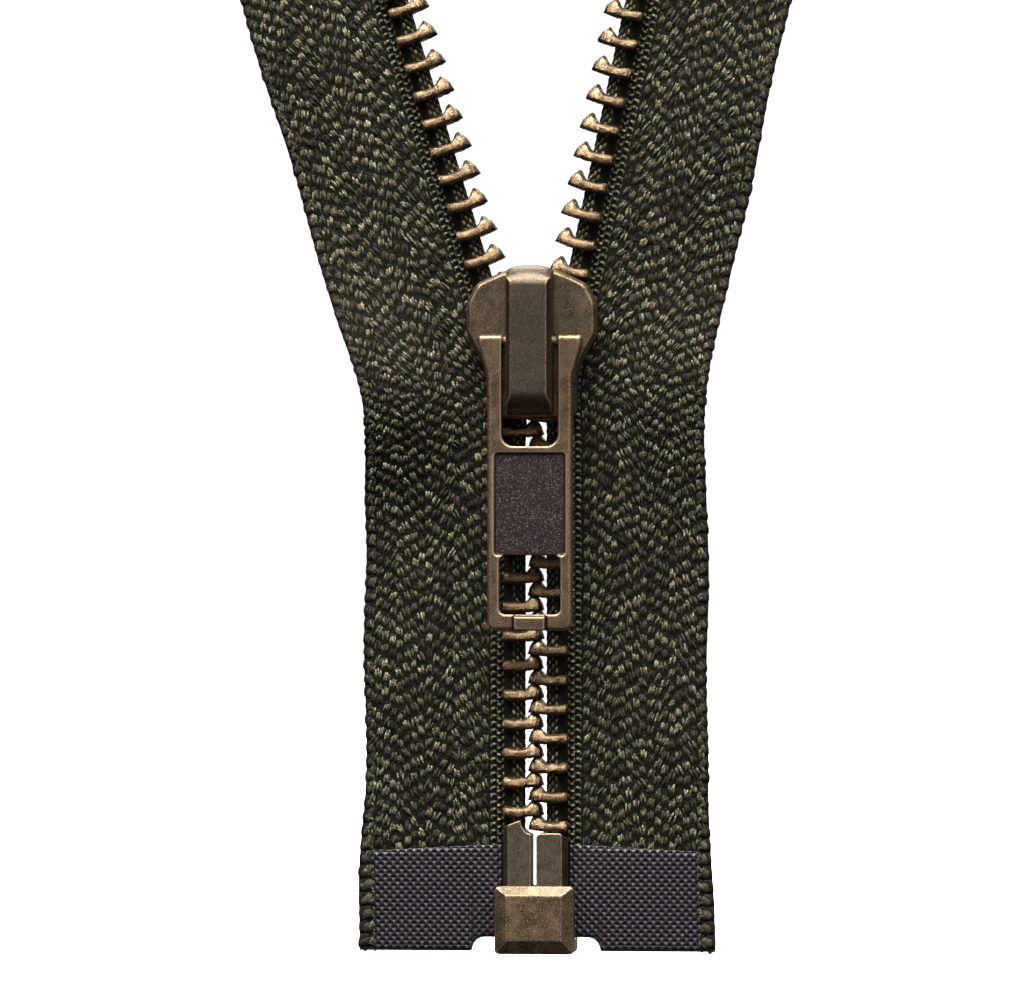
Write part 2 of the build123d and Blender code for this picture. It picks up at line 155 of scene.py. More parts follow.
# ---------------------------------------------------------------- materials
class Shader:
    """A principled material and short ways to add procedural nodes to it."""

    def __init__(self, name, **fixed):
        self.material = bpy.data.materials.new(name)
        self.material.use_nodes = True
        self.tree = self.material.node_tree
        self.bsdf = self.tree.nodes["Principled BSDF"]
        for key, value in fixed.items():
            self.bsdf.inputs[key.replace("_", " ")].default_value = value
        where = self.tree.nodes.new("ShaderNodeTexCoord").outputs["Object"]
        self.mm = self.stretch(where, (1 / MM,) * 3)

    def link(self, value, socket):
        if hasattr(value, "is_output"):
            self.tree.links.new(value, socket)
        else:
            socket.default_value = value

    def attribute(self, name, vector=False):
        node = self.tree.nodes.new("ShaderNodeAttribute")
        node.attribute_name = name
        return node.outputs["Vector" if vector else "Fac"]

    def noise(self, scale, detail=3.0, rough=0.55, where=None):
        node = self.tree.nodes.new("ShaderNodeTexNoise")
        node.inputs["Scale"].default_value = scale
        node.inputs["Detail"].default_value = detail
        node.inputs["Roughness"].default_value = rough
        self.tree.links.new(where or self.mm, node.inputs["Vector"])
        return node.outputs["Fac"]

    def stretch(self, vector, scale):
        node = self.tree.nodes.new("ShaderNodeVectorMath")
        node.operation = "MULTIPLY"
        node.inputs[1].default_value = scale
        self.tree.links.new(vector, node.inputs[0])
        return node.outputs[0]

    def math(self, operation, a, b=0.0):
        node = self.tree.nodes.new("ShaderNodeMath")
        node.operation = operation
        self.link(a, node.inputs[0])
        self.link(b, node.inputs[1])
        return node.outputs[0]

    def span(self, value, low, high, to_low=0.0, to_high=1.0):
        node = self.tree.nodes.new("ShaderNodeMapRange")
        node.interpolation_type = "SMOOTHSTEP"
        for key, number in zip((1, 2, 3, 4), (low, high, to_low, to_high)):
            node.inputs[key].default_value = number
        self.link(value, node.inputs[0])
        return node.outputs[0]

    def mix(self, share, a, b, blend="MIX"):
        node = self.tree.nodes.new("ShaderNodeMix")
        node.data_type = "RGBA"
        node.blend_type = blend
        self.link(share, node.inputs["Factor"])
        for socket, value in ((node.inputs[6], a), (node.inputs[7], b)):
            self.link(value if hasattr(value, "is_output") else (*value, 1.0), socket)
        return node.outputs[2]

    def bump(self, height, strength, distance):
        node = self.tree.nodes.new("ShaderNodeBump")
        node.inputs["Strength"].default_value = strength
        node.inputs["Distance"].default_value = distance * MM
        self.tree.links.new(height, node.inputs["Height"])
        self.tree.links.new(node.outputs["Normal"], self.bsdf.inputs["Normal"])

    def colour(self, value):
        self.link(value, self.bsdf.inputs["Base Color"])

    def rough(self, value):
        self.link(value, self.bsdf.inputs["Roughness"])


def antique(name, dark, body, worn, wear=(0.25, 0.75), grain=0.5, glint=0.35,
            matt=0.38, cloud=0.5):
    """Oxidised brass: dark grain, brighter where its edges rub (on the teeth the edge values also carry painted
    highlights), with painted shade darkening its corners and hollows.
    wear gives the edge values where the rubbing starts and is full, grain the share of bright grain, glint the
    share of painted glints (pale specks standing in for tiny highlights), matt the roughness off the edges, cloud
    the patches."""
    sh = Shader(name, Metallic=1.0)
    fine = sh.noise(9.5, 3.0, 0.75)
    speck = sh.noise(6.5, 3.0, 0.65)
    patch = sh.noise(0.8, 3.0, 0.5)
    uneven = sh.math("MULTIPLY", sh.math("SUBTRACT", speck, 0.5), 1.3)
    # rub_and_highlight: wear on the castings' edges; on the teeth it also carries their painted highlights
    rub_and_highlight = sh.span(sh.math("ADD", sh.attribute("edge"), uneven), *wear)
    clouds = sh.math("ADD", fine, sh.math("MULTIPLY", patch, cloud))
    tone = sh.mix(sh.span(clouds, 0.37 + cloud / 2, 0.63 + cloud / 2), dark, body)
    tone = sh.mix(sh.math("MULTIPLY", sh.span(speck, 0.54, 0.66), grain), tone, worn)
    tone = sh.mix(rub_and_highlight, tone, worn)
    # painted glints: pale specks standing in for tiny highlights
    painted_glint = sh.span(sh.noise(12.0, 2.0, 0.8), 0.60, 0.70, 0.0, glint)
    tone = sh.mix(painted_glint, tone, (0.50, 0.47, 0.44))
    # painted shade: darkened towards black where the hollow value is high (hollows, and on the teeth their tips
    # and undersides)
    shade = sh.span(sh.attribute("hollow"), 0.1, 0.9, 0.0, 0.85)
    tone = sh.mix(shade, tone, tuple(0.35 * c for c in dark))
    sh.colour(tone)
    sh.rough(sh.math("ADD", sh.span(rub_and_highlight, 0, 1, matt, 0.28), sh.math("MULTIPLY", fine, 0.16)))
    sh.bump(sh.math("ADD", fine, sh.math("MULTIPLY", speck, 0.8)), 0.45, 0.06)
    return sh


TOOTH_METAL = antique(
    "tooth_brass", (0.065, 0.043, 0.027), (0.23, 0.148, 0.080), (0.56, 0.41, 0.24),
    wear=(0.30, 0.95))
SLIDER_METAL = antique(
    "slider_brass", (0.052, 0.040, 0.028), (0.165, 0.122, 0.080), (0.46, 0.30, 0.155),
    wear=(0.22, 0.85), grain=0.25)
CROWN_METAL = antique(
    "crown_brass", (0.060, 0.048, 0.034), (0.150, 0.115, 0.078), (0.44, 0.29, 0.15),
    wear=(0.30, 0.95), grain=0.10, glint=0.25, matt=0.27, cloud=0.2)
BOX_METAL = antique(
    "box_brass", (0.075, 0.050, 0.031), (0.27, 0.185, 0.11), (0.57, 0.44, 0.30))
PIN_METAL = antique(
    "pin_brass", (0.080, 0.062, 0.046), (0.175, 0.138, 0.10), (0.50, 0.35, 0.21),
    grain=0.2, glint=0.3)
PULL_METAL = antique(
    "pull_brass", (0.070, 0.048, 0.032), (0.23, 0.158, 0.095), (0.48, 0.345, 0.21),
    wear=(0.25, 0.9), grain=0.4)


def paint_panel(sh):
    """The sunk panel of the pull tab: dark lacquer with fine pale specks."""
    inside = sh.attribute("panel")
    base = sh.bsdf.inputs["Base Color"].links[0].from_socket
    specks = sh.span(sh.noise(9.5, 2.0, 0.8), 0.56, 0.68)
    lacquer = sh.mix(specks, (0.046, 0.034, 0.034), (0.34, 0.29, 0.25))
    sh.colour(sh.mix(inside, base, lacquer))


paint_panel(PULL_METAL)


def steel():
    """Spring steel with fine streaks along its length."""
    sh = Shader("spring_steel", Metallic=1.0)
    streak = sh.noise(6.0, 3.0, 0.6, where=sh.stretch(sh.mm, (4.0, 4.0, 0.3)))
    sh.colour(sh.mix(streak, (0.30, 0.29, 0.27), (0.55, 0.54, 0.51)))
    sh.rough(sh.span(streak, 0.2, 0.8, 0.25, 0.45))
    sh.bump(streak, 0.2, 0.02)
    return sh


def film_material():
    """Embossed plastic film, dark purple-brown and a little glossy, with a painted highlight on its ridges: they
    are painted paler than the pits.
    """
    sh = Shader("film", Specular_IOR_Level=0.6)
    cloud = sh.noise(0.7, 4.0, 0.6)
    fine = sh.noise(11.0, 2.0, 0.6)
    tone = sh.mix(cloud, (0.007, 0.003, 0.006), (0.013, 0.007, 0.012))
    # painted highlight: the ridges are painted paler than the pits
    tone = sh.mix(sh.attribute("ridge"), tone, (0.022, 0.013, 0.020))
    tone = sh.mix(sh.span(fine, 0.60, 0.75, 0.0, 0.3), tone, (0.12, 0.10, 0.105))
    sh.colour(tone)
    sh.rough(sh.span(fine, 0.3, 0.7, 0.16, 0.30))
    sh.bump(fine, 0.2, 0.03)
    return sh


def cloth_material():
    """The weft under the floats: near black as painted shade between the floats, ribbed across."""
    sh = Shader("tape_ground", Roughness=0.85, Specular_IOR_Level=0.06)
    thread = sh.noise(5.0, 3.0, 0.6, where=sh.stretch(sh.mm, (0.5, 1.0, 3.0)))
    # painted shade: the ground is near black to stand for the shade between the floats
    sh.colour(sh.mix(thread, (0.004, 0.0035, 0.002), (0.016, 0.0145, 0.008)))
    sh.bump(thread, 0.6, 0.08)
    return sh


def yarn_material(name, low, high, pale):
    """Spun floats: fine filaments along the yarn, with painted light: pale painted highlights on their crowns,
    painted shade on their sides, undersides and feet.
    """
    sh = Shader(name, Roughness=0.62, Specular_IOR_Level=0.2)
    line = sh.stretch(sh.attribute("yarn", vector=True), (1.1, 4.2, 7.0))
    filament = sh.noise(1.5, 3.0, 0.6, where=line)
    crown = sh.attribute("crown")
    shift = sh.attribute("tone")
    # painted shade and highlight: near black on the floats' sides, undersides and feet, the lit colour on their
    # crowns, pale painted highlights along the filaments there
    tone = sh.mix(sh.span(crown, 0.10, 0.90), low, high)
    light = sh.math("MULTIPLY", sh.span(filament, 0.45, 0.62), sh.span(crown, 0.40, 0.95))
    light = sh.math("MULTIPLY", light, sh.span(shift, 0.0, 0.9, 0.15, 1.0))
    tone = sh.mix(light, tone, pale)
    tone = sh.mix(1.0, tone, sh.mix(shift, (0.24, 0.235, 0.23), (1.5, 1.5, 1.5)), "MULTIPLY")
    sh.colour(tone)
    sh.bump(filament, 0.9, 0.14)
    return sh


FILM = film_material()
CLOTH = cloth_material()
# for both yarns: low is the painted shade colour, high the lit colour, pale the painted highlight
YARN = yarn_material(
    "tape_yarn", (0.0035, 0.003, 0.0014), (0.054, 0.046, 0.023), (0.31, 0.275, 0.185))
CORD = yarn_material("cord_yarn", (0.03, 0.028, 0.02), (0.16, 0.15, 0.11), (0.30, 0.28, 0.22))
STEEL = steel()


# ---------------------------------------------------------------- castings
SOFTENING = 0.5             # how far each smoothing round moves a vertex to its neighbours
WIDE_ROUNDS = 4             # rounds of averaging that a bend is measured against
FULL_WEAR_AND_SHADE = 0.72            # the bend, after one smoothing round, that counts as fully worn; the same hollowness counts as full painted shade
SHOULDERS = (53.5, 57.0)    # heights over which the slider's shoulders rise
CROWN_FALL = 0.55           # how far the crown's arch falls to its sides
CROWN_HALF = 2.2
TONGUE_PROUD = 0.24
# Rectangles on the pull tab: half width, bottom and top, each fading over its two values.
TONGUE = ((1.48, 1.36), (28.0, 28.12), (29.36, 29.24))
PANEL = ((3.12, 3.02), (34.5, 34.64), (43.5, 43.4))


def neighbours_mean(edges, counts, values):
    """Mean of each vertex's neighbours."""
    total = np.zeros_like(values)
    columns = values.reshape(len(values), -1)
    for k in range(columns.shape[1]):
        one = np.bincount(edges[:, 0], columns[edges[:, 1], k], len(values))
        two = np.bincount(edges[:, 1], columns[edges[:, 0], k], len(values))
        total.reshape(len(values), -1)[:, k] = (one + two) / counts
    return total


def cast(node, material, voxel, rounds, shape=None):
    """A CAD piece as a casting with rounded edges, where it is worn, and where it is recessed for painted shade.
    """
    mesh = frame["nodes"][node].data.copy()
    bm = bmesh.new()
    bm.from_mesh(mesh)
    bmesh.ops.remove_doubles(bm, verts=bm.verts, dist=1e-7)
    bmesh.ops.scale(bm, vec=(1 / MM,) * 3, verts=bm.verts)
    bm.to_mesh(mesh)
    bm.free()
    obj = bpy.data.objects.new(f"{node}_cast", mesh)
    bpy.context.scene.collection.objects.link(obj)
    remesh = obj.modifiers.new("remesh", "REMESH")
    remesh.mode, remesh.voxel_size = "VOXEL", voxel
    soften = obj.modifiers.new("soften", "SMOOTH")
    soften.iterations, soften.factor = rounds, SOFTENING
    done = obj.evaluated_get(bpy.context.evaluated_depsgraph_get())
    final = bpy.data.meshes.new_from_object(done)
    obj.modifiers.clear()
    obj.data = final
    count = len(final.vertices)
    co, normal = np.zeros(count * 3), np.zeros(count * 3)
    final.vertices.foreach_get("co", co)
    final.vertices.foreach_get("normal", normal)
    co, normal = co.reshape(-1, 3), normal.reshape(-1, 3)
    if shape:
        co = shape(co)
    edges = np.zeros(len(final.edges) * 2, int)
    final.edges.foreach_get("vertices", edges)
    edges = edges.reshape(-1, 2)
    degree = np.maximum(np.bincount(edges.ravel(), minlength=count), 1)
    wide = co
    for _ in range(WIDE_ROUNDS):
        wide = neighbours_mean(edges, degree, wide)
    curve = ((co - wide) * normal).sum(1) / voxel
    curve = neighbours_mean(edges, degree, curve)
    for key, value in (("edge", curve), ("hollow", -curve)):
        put_attribute(final, key, np.clip(value * math.sqrt(rounds) / FULL_WEAR_AND_SHADE, 0, 1))
    final.vertices.foreach_set("co", (co * MM).ravel())
    final.polygons.foreach_set("use_smooth", [True] * len(final.polygons))
    final.materials.clear()
    final.materials.append(material.material)
    final.update()
    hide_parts(node)
    return obj, co


def body_of(node):
    bodies = frame["record"]["behaviour"]["bodies"]
    return next(body for body, nodes in bodies.items() if node in nodes)


def middle_of(node):
    low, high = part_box(node)
    return (low.x + high.x) / 2 / MM


def round_crown(co):
    """The crown's top is a low arch."""
    x, z = abs(co[:, 0] - middle_of("slider_crown")), co[:, 2]
    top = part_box("slider_crown")[1].z / MM
    z -= CROWN_FALL * (x / CROWN_HALF) ** 3 * smooth(top - 1.6, top - 0.3, z)
    return co


def full_shoulders(co):
    """The plates' shoulders rise a little beside the crown."""
    x, z = abs(co[:, 0] - middle_of("slider_body")), co[:, 2]
    z += (0.35 + 0.2 * smooth(1.2, 2.8, x)) * smooth(*SHOULDERS, z)
    return co


def on_tab(co, rectangle):
    """1 for points in a rectangle of the pull tab, 0 outside it."""
    half, bottom, top = rectangle
    x, z = abs(co[:, 0] - middle_of("pull_tab")), co[:, 2]
    return smooth(*half, x) * smooth(*bottom, z) * smooth(*top, z)


def proud_tongue(co):
    """The folded tongue stands proud of the tab's lower bar."""
    co[:, 1] -= TONGUE_PROUD * on_tab(co, TONGUE) * smooth(-3.9, -4.2, co[:, 1])
    return co


def pull_tab():
    """The pull tab, with the sunk panel marked for its lacquer."""
    obj, co = cast("pull_tab", PULL_METAL, 0.06, 20, proud_tongue)
    depth = abs(co[:, 1] - JOINTS["pull_swing"]["pos_m"][1] / MM)
    put_attribute(obj.data, "panel", on_tab(co, PANEL) * smooth(0.46, 0.36, depth))
    return obj


# ---------------------------------------------------------------- teeth
# Distance from the leg's end, then: height of the tooth's top and of its underside above
# the bar's underside, and half depth front to back.
CREST = [(0, .70), (.06, .86), (.16, .95), (.5, .92), (1.0, .865), (1.5, .85), (1.8, .87),
         (1.99, .95), (2.18, 1.12), (2.37, 1.38), (2.53, 1.61), (2.64, 1.66), (2.76, 1.64),
         (2.97, 1.38), (3.12, 1.18), (3.27, .96), (3.37, .60), (3.44, .36), (3.47, .24)]
UNDERSIDE = [(0, .12), (.12, .02), (.5, -.03), (1.2, -.02), (2.0, .0), (3.0, .10), (3.47, .20)]
DEPTH = [(0, 1.22), (.08, 1.34), (.3, 1.43), (.5, 1.45), (2.4, 1.45), (2.9, 1.36), (3.2, 1.18),
         (3.4, .90), (3.47, .72)]
TOOTH_REACH = 2.82          # legs' ends, from the chain's centre
BAR = 0.95                  # height of the legs
# The dent under the head: middle, half length, share of the depth, height.
DENT_AT, DENT_HALF, DENT_SHARE, DENT_HEIGHT = 2.94, 0.52, 0.90, 0.50
SHARP = 26                  # degrees between faces from which an edge is sharp


def along(points, value):
    return np.interp(value, [p[0] for p in points], [p[1] for p in points])


def tooth_rings():
    """Rings of points (from the leg's end to the tip) around one tooth, as (u, y, v)."""
    stations = [0, .03, .08, .14, .22, .34, .5, .7, .9, 1.1, 1.3, 1.5, 1.7, 1.85, 1.99, 2.1,
                2.2, 2.3, 2.4, 2.5, 2.6, 2.7, 2.8, 2.9, 3.0, 3.1, 3.2, 3.28, 3.34, 3.4, 3.44,
                3.47]
    rings = []
    for u in stations:
        top, low, deep = along(CREST, u), along(UNDERSIDE, u), along(DEPTH, u)
        bar = min(top, along(CREST, 0.5))
        crease = low + 0.62 * (bar - low)
        crown = deep * np.interp(top, (0.3, 0.86, 1.2, 1.66), (0.8, 0.76, 0.62, 0.30))
        front = [
            (0.86 * deep, low + 0.01), (0.97 * deep, low + 0.20 * (bar - low)),
            (deep, low + 0.34 * (bar - low)), (0.975 * deep, crease),
            (0.62 * deep + 0.38 * crown, 0.42 * crease + 0.58 * top),
            (0.80 * crown + 0.20 * deep, 0.12 * crease + 0.88 * top), (0.80 * crown, top),
        ]
        bottom = []
        for share in (-0.62, -0.32, 0.0, 0.32, 0.62):
            dent = 1 - ((u - DENT_AT) / DENT_HALF) ** 2 - (share * deep / DENT_SHARE) ** 2
            bottom.append((share * deep, low + DENT_HEIGHT * math.sqrt(max(dent, 0))))
        ring = [(-y, v) for y, v in front] + [(0, top + 0.01)]
        ring += [(y, v) for y, v in reversed(front)] + list(reversed(bottom))
        rings.append([(u, y, min(v, top + 0.01)) for y, v in ring])
    return np.array(rings)


def teeth(name, part, first, count):
    """A group of teeth on one tape, each hammered a little differently."""
    side = SIDES[name]
    rings = tooth_rings()
    rows, around = rings.shape[:2]
    quads = grid(rows, around, wrap=True)
    ends = [rings[0].mean(0), rings[-1].mean(0)]
    one = np.concatenate([rings.reshape(-1, 3), ends])
    total = rows * around
    fans = [(total, (k + 1) % around, k) for k in range(around)]
    last = (rows - 1) * around
    fans += [(total + 1, last + k, last + (k + 1) % around) for k in range(around)]
    u, v = one[:, 0], one[:, 2]
    top = along(CREST, u)
    # painted highlights, partly also rubbed bright, along the crest, at the leg's end and on the head's flat;
    # painted shade at the tip and underneath
    worn_and_highlit = 0.45 * smooth(0.14, 0.05, abs(v - top)) + 0.3 * smooth(0.16, 0.04, u)
    worn_and_highlit += 0.9 * np.exp(-(((u - 2.62) / 0.26) ** 2) - ((v - 1.12) / 0.22) ** 2)
    worn_and_highlit += 0.25 * np.exp(-(((u - 0.45) / 0.3) ** 2) - ((v - 0.7) / 0.15) ** 2)
    shade = 0.8 * smooth(3.08, 3.3, u) + 0.7 * smooth(0.30, 0.08, v)
    shade += 0.5 * smooth(0.06, 0.0, u)
    turn = LEAN[name] if part != "lower" else 0.0
    points, faces, edge = [], [], []
    for k in range(count):
        t = first + PITCH * k
        rough = 0.018 * RNG.normal(size=(len(one), 3))
        waves = sum(
            a * np.sin(one @ RNG.normal(0, 3.6, 3) + RNG.uniform(0, 6.3))[:, None]
            * RNG.normal(0, 1, 3)
            for a in (0.018, 0.014, 0.010)
        )
        p = one + rough + waves
        out, rise = TOOTH_REACH - BEAD_X - p[:, 0], t - PIVOT[name] - BAR / 2 + p[:, 2]
        x = BEAD_X + out * math.cos(turn) + rise * math.sin(turn)
        z = PIVOT[name] - out * math.sin(turn) + rise * math.cos(turn)
        start = len(one) * k
        points.append(np.stack([side * x, p[:, 1], z], 1))
        faces += turned_over([tuple(start + i for i in f) for f in quads + fans], side > 0)
        edge.append(np.clip(worn_and_highlit + 0.14 * RNG.normal(size=len(one)), 0, 1))
    obj = make(f"{name}_teeth_{part}_formed", np.concatenate(points), faces,
               TOOTH_METAL.material, edge=np.concatenate(edge), hollow=np.tile(shade, count))
    obj.data.set_sharp_from_angle(angle=math.radians(SHARP))
    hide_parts(f"{name}_teeth_{part}")
    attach(obj, body_of(f"{name}_teeth_{part}"))


# ---------------------------------------------------------------- tapes
CLOTH_STEP = 0.35           # from row to row of the cloth's mesh
RAMP_TOP = 3.0              # above this the rows are level, whatever the bottom edge does
RIB = 0.62                  # from rib to rib round the bead


def tape_profile():
    """Half of the cloth's cross-section: distance from the bead's centre, half thickness."""
    angles = np.linspace(0, math.pi - math.asin(CORE / BEAD_R), 17)
    bead = [(-BEAD_R * math.cos(a), BEAD_R * math.sin(a)) for a in angles]
    web = [(s, CORE) for s in np.arange(BEAD_R + 0.2, SELVEDGE - 0.25, 0.3)]
    edge = [(SELVEDGE - 0.16, CORE * 0.85), (SELVEDGE - 0.06, 0.0)]
    return np.array(bead + web + edge)


def notch_height(s):
    """Where the cloth's bottom edge lies, with its rounded cut-out beside the box."""
    past = np.maximum(s - (NOTCH_EDGE - NOTCH_R), 0)
    curve = NOTCH_TOP - NOTCH_R + np.sqrt(np.maximum(NOTCH_R**2 - past**2, 0))
    return np.where(s < NOTCH_EDGE, np.maximum(curve, TAPE_BOTTOM), TAPE_BOTTOM)


def cloth(name, part, start, end):
    """The ground of a tape between two heights, as one closed sheet."""
    profile = tape_profile()
    s, half = profile[:, 0], profile[:, 1]
    low = notch_height(s)
    rows = []
    for t in np.linspace(start, end, int((end - start) / CLOTH_STEP) + 1):
        at = t + 0 * s
        if t < RAMP_TOP:
            at = low + (t - TAPE_BOTTOM) * (RAMP_TOP - low) / (RAMP_TOP - TAPE_BOTTOM)
        rib = 1 + 0.06 * np.sin(at * 2 * math.pi / RIB) * (half > 0.3)
        front = place(name, s, -half * rib, at)
        back = place(name, s, half * rib, at)
        rows.append(np.concatenate([front, back[-2:0:-1]]))
    around = len(rows[0])
    faces = grid(len(rows), around, wrap=True)
    wide = len(profile)
    for row, flip in ((0, False), (len(rows) - 1, True)):
        base = row * around
        for k in range(wide - 1):
            corners = (k, k + 1, (around - k - 1) % around, (around - k) % around)
            face = [base + i for i in dict.fromkeys(corners)]
            faces.append(face[::-1] if flip else face)
    faces = turned_over(faces, SIDES[name] > 0)
    return make(f"{name}_tape_{part}_cloth", np.concatenate(rows), faces, CLOTH.material)


# A float's mesh: rings along it, from -1 to 1, and points round each ring.
RINGS = np.array([-1.0, -0.90, -0.62, -0.22, 0.20, 0.58, 0.86, 1.0])
AROUND = 6


def yarns(name, s, y, t, out, slant, length, width, height, dip, tone, peak=0.0):
    """Short floats of yarn. out is the angle of the outward direction, 0 away from the
    bead and -90 degrees to the front; slant leans each float away from the tape's run.
    peak says where each float stands highest, from -1 at its foot to 1 at its top."""
    n = len(s)
    a = RINGS[None, :, None]
    phi = np.linspace(0, 2 * math.pi, AROUND, endpoint=False)[None, None, :]
    radius = np.sqrt(np.maximum(1 - np.abs(a) ** 3.4, 0.004))

    def column(v):
        return np.broadcast_to(np.asarray(v, float), (n,))[:, None, None]

    run = a * column(length) / 2
    side = radius * column(width) / 2 * np.cos(phi)
    away = np.where(a < peak, (peak - a) / (1 + peak), (a - peak) / (1 - peak))
    rise = radius * column(height) * np.sin(phi) - column(dip) * away**1.8
    c, q = np.cos(column(slant)), np.sin(column(slant))
    up = run * c - side * q
    over = run * q + side * c
    o = column(out)
    ps = column(s) + rise * np.cos(o) - over * np.sin(o)
    py = column(y) + rise * np.sin(o) + over * np.cos(o)
    pt = column(t) + up
    points = place(name, ps, py, pt).reshape(-1, 3)
    seeds = column(RNG.uniform(0, 40, n)) + 0 * run + 0 * side
    line = np.stack([run + 0 * side, 0 * run + phi * column(width) / 2 + 0.9 * run, seeds], -1)
    # painted light: 1 on the float's outward top, falling to 0 on its sides, underside and towards its foot
    crown = 0 * run + np.clip(0.5 + 0.5 * np.sin(phi), 0, 1) * smooth(-1.0, 0.35, a)
    tones = column(np.clip(tone, 0, 1)) + 0 * crown
    return points, line.reshape(-1, 3), crown.ravel(), tones.ravel(), n


def yarn_faces(n, flip):
    """The faces of n floats."""
    size = len(RINGS) * AROUND
    body = np.array(grid(len(RINGS), AROUND, wrap=True))
    first, last = np.arange(AROUND)[::-1], (len(RINGS) - 1) * AROUND + np.arange(AROUND)
    faces = repeated(body, size, n).tolist() + repeated([first, last], size, n).tolist()
    return turned_over(faces, flip)


FLOAT_WIDTH = 0.62          # one warp yarn
FLOAT_PERIOD = 1.25         # from float to float along it
TURNS = (5, 9, 13)          # warp yarns at which the herringbone turns
LADDER = (1.38, 1.84)       # middles of the two narrow columns beside the teeth
HERRINGBONE = 2.35          # where the herringbone starts
INNER = (1.12, 1.61, 2.12)  # middles of the small floats among and beside the ladder
BEAD_STEP = 0.72            # from float to float along the bead
LOOP_STEP = 1.2             # from loop to loop along the outer edge
BARE_FOOT, BARE_END = 0.35, 0.52   # cloth without floats at the tape's two ends


def within(t, low, high):
    return t[(t > low) & (t < high)]


def woven(name, start, end, face):
    """All floats of one face of a tape (face -1 is the front) between two heights."""
    groups = []
    out = face * math.pi / 2
    columns = int((SELVEDGE - 0.35 - HERRINGBONE) / FLOAT_WIDTH)
    phase = 0.0
    for k in range(columns):
        lean = -1 if sum(k >= turn for turn in TURNS) % 2 else 1
        phase -= lean * FLOAT_PERIOD / 3
        s = HERRINGBONE + FLOAT_WIDTH * (k + 0.5)
        t = np.arange(-FLOAT_PERIOD, TAPE_TOP[name] + FLOAT_PERIOD, FLOAT_PERIOD)
        t = t + phase % FLOAT_PERIOD
        t = t + RNG.normal(0, 0.09, len(t))
        under_film = (t < FILM_TOP - 0.2) & (s < 12.3)
        t = t[(t > start) & (t < end) & ~under_film]
        n = len(t)
        middle, slant = s + RNG.normal(0, 0.035, n), 0.20 + 0.14 * RNG.normal(size=n)
        tone = 0.48 + 0.22 * RNG.normal(size=n)
        for strand in (-1, 0, 1):
            groups.append(yarns(
                name, middle + 0.185 * strand + RNG.normal(0, 0.025, n), face * 0.12,
                t + 0.08 * (strand == 0) + RNG.normal(0, 0.07, n), out,
                -face * lean * (slant + 0.10 * RNG.normal(size=n)),
                1.30 + 0.14 * RNG.normal(size=n), 0.24 + 0.04 * RNG.normal(size=n),
                0.22 + 0.02 * (strand == 0) + 0.03 * RNG.normal(size=n), 0.25,
                tone + 0.13 * RNG.normal(size=n), 0.35))
        # painted shade: near-black yarn put in the gaps between two floats, where there is shade
        gaps = t - 0.66 * FLOAT_PERIOD
        gaps = gaps[gaps > TAPE_BOTTOM + 0.7]
        n = len(gaps)
        groups.append(yarns(
            name, s + 0.1 * RNG.normal(size=n), face * 0.03, gaps, out,
            face * lean * (0.2 + 0.2 * RNG.normal(size=n)), 1.0, 0.52, 0.21, 0.17,
            0.05 + 0.07 * RNG.normal(size=n)))
    low = max(start, FILM_TOP + 0.1)
    for k, s in enumerate(LADDER):
        t = within(np.arange(1.6, end, 0.5 * FLOAT_PERIOD) + 0.31 * k, low, end)
        n = len(t)
        groups.append(yarns(
            name, s + RNG.normal(0, 0.02, n), face * 0.20, t, out,
            math.pi / 2 + RNG.normal(0, 0.10, n), 0.50, 0.27, 0.17, 0.04,
            1.0 + 0.15 * RNG.normal(size=n)))
    for s in INNER:
        t = within(np.arange(1.6, end, 0.5 * FLOAT_PERIOD) + 0.15, low, end)
        n = len(t)
        groups.append(yarns(
            name, s + RNG.normal(0, 0.02, n), face * 0.15, t, out, RNG.normal(0, 0.1, n),
            0.56, 0.20, 0.10, 0.04, 0.55 + 0.1 * RNG.normal(size=n)))
    return groups


def bead_floats(name, start, end):
    """The tight yarn around the cord."""
    groups = []
    for k, angle in enumerate(np.radians(np.arange(65, 300, 23.5))):
        t = within(np.arange(1.8, end, BEAD_STEP) + 0.36 * (k % 2), start, end)
        n = len(t)
        s, y = BEAD_R * 0.97 * math.cos(angle), BEAD_R * 0.97 * math.sin(angle)
        groups.append(yarns(
            name, s * np.ones(n), y,
            t + RNG.normal(0, 0.03, n), angle, 0.16 + RNG.normal(0, 0.08, n),
            0.70, 0.27, 0.12, 0.06, 0.60 + 0.22 * RNG.normal(size=n)))
    return groups


def selvedge_floats(name, start, end):
    """Fat weft loops that turn round the outer edge, and the slanted strands on them."""
    groups = []
    for face in (-1, 1):
        t = within(np.arange(1.0, end, LOOP_STEP) + 0.1 * face, start, end)
        n = len(t)
        groups.append(yarns(
            name, SELVEDGE - 0.36 + RNG.normal(0, 0.04, n), face * 0.04, t,
            face * (math.pi / 2 - 0.6), face * 0.12 + RNG.normal(0, 0.08, n),
            1.26, 0.80, 0.28 + RNG.normal(0, 0.02, n), 0.14, 0.22 + 0.08 * RNG.normal(size=n)))
        for strand in (-1, 0, 1):
            groups.append(yarns(
                name, SELVEDGE - 0.60 + 0.17 * strand + RNG.normal(0, 0.03, n), face * 0.20,
                t + 0.1 * strand + RNG.normal(0, 0.05, n),
                face * (math.pi / 2 - 0.25 - 0.2 * strand),
                -face * 0.42 + RNG.normal(0, 0.1, n), 0.86, 0.20, 0.13, 0.14,
                0.42 + 0.15 * RNG.normal(size=n), 0.2))
    return groups


STRAND_R = 0.25             # one strand of the cord
STRAND_OUT = 0.26           # its middle, from the cord's middle
STRAND_TWIST = 2.0          # radians per millimetre
STRAND_STEP = 0.4
STRAND_SIDES = 8


